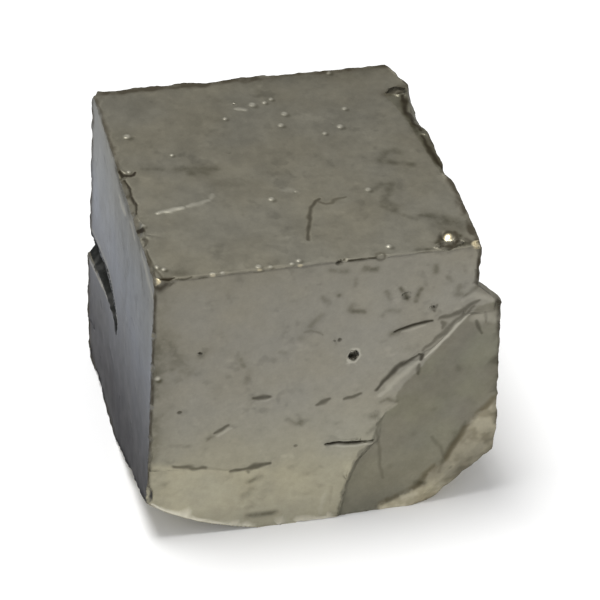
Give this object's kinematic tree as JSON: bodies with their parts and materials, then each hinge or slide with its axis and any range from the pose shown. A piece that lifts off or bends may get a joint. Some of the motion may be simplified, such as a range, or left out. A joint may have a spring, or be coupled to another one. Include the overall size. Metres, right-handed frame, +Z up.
{
  "type": "pyrite specimen",
  "caption": "Squat pyrite cube with a smaller crystal grown through its right side, chipped edges, a gash and a flake scar; rests on its base.",
  "frame": {"origin": "centre of the large cube crystal's base face", "axes": "+Z up, +Y from the front face to the back, +X along the front face towards the second crystal"},
  "size_m": [0.0282, 0.024, 0.026],
  "materials": {
    "pyrite": "natural crystal faces with a dull metallic lustre and brownish tarnish"
  },
  "bodies": {
    "root": {"pyrite_crystal": "pyrite"}
  },
  "joints": []
}
